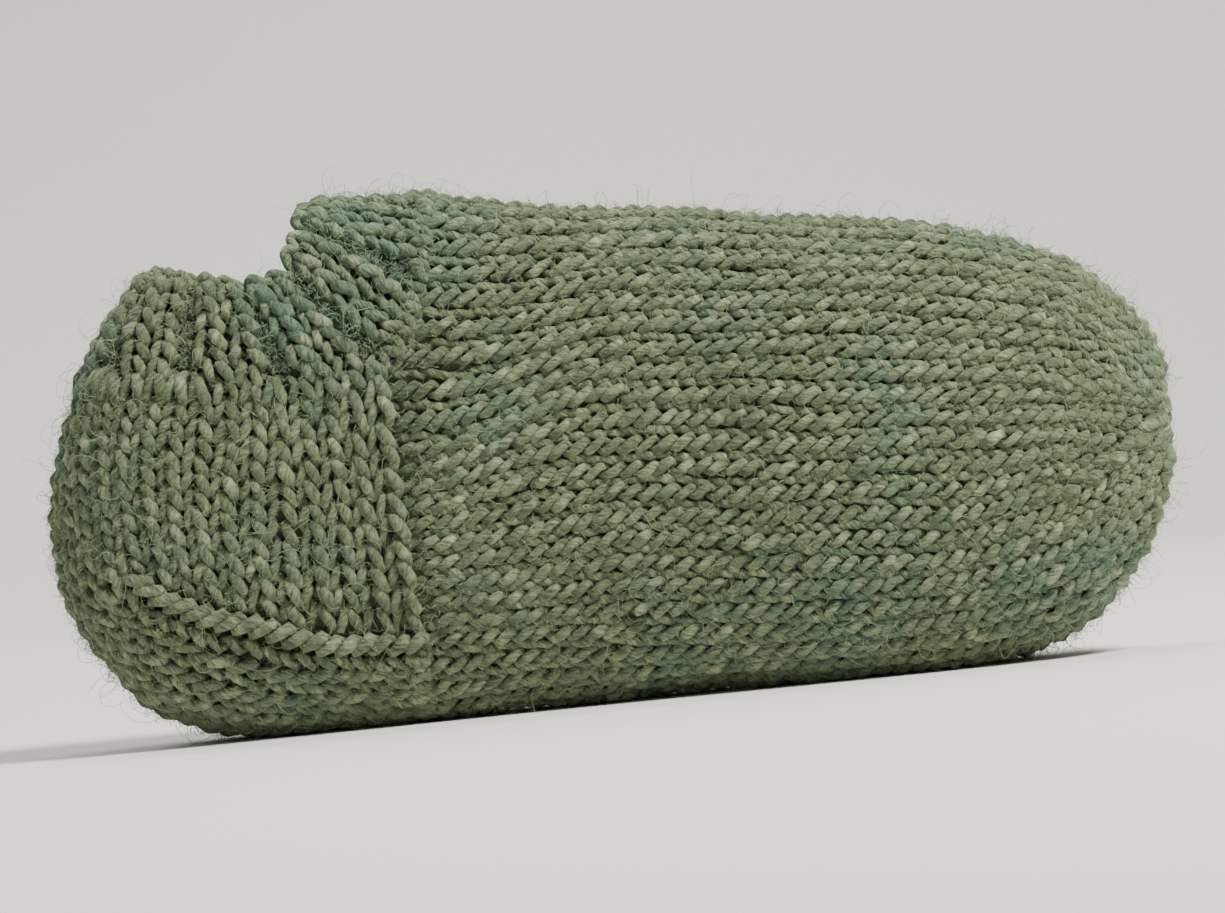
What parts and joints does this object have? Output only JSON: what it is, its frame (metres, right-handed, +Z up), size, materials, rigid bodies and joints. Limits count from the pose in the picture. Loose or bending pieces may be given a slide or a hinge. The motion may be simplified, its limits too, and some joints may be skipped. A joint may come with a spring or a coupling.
{
  "type": "knitted slipper",
  "caption": "Hand-knitted wool slipper with a ribbed cuff, turned heel and round gathered toe; a hollow sock-like wall that stands on its sole.",
  "frame": {"origin": "on the floor under the middle of the slipper's length and width", "axes": "+X from heel to toe, +Y to the side, +Z up out of the collar"},
  "size_m": [0.2451, 0.063, 0.1128],
  "materials": {
    "sage_wool": "soft matt heathered sage-green wool, lightly twisted and hairy"
  },
  "bodies": {
    "root": {"knitted_body": "sage_wool"}
  },
  "joints": []
}
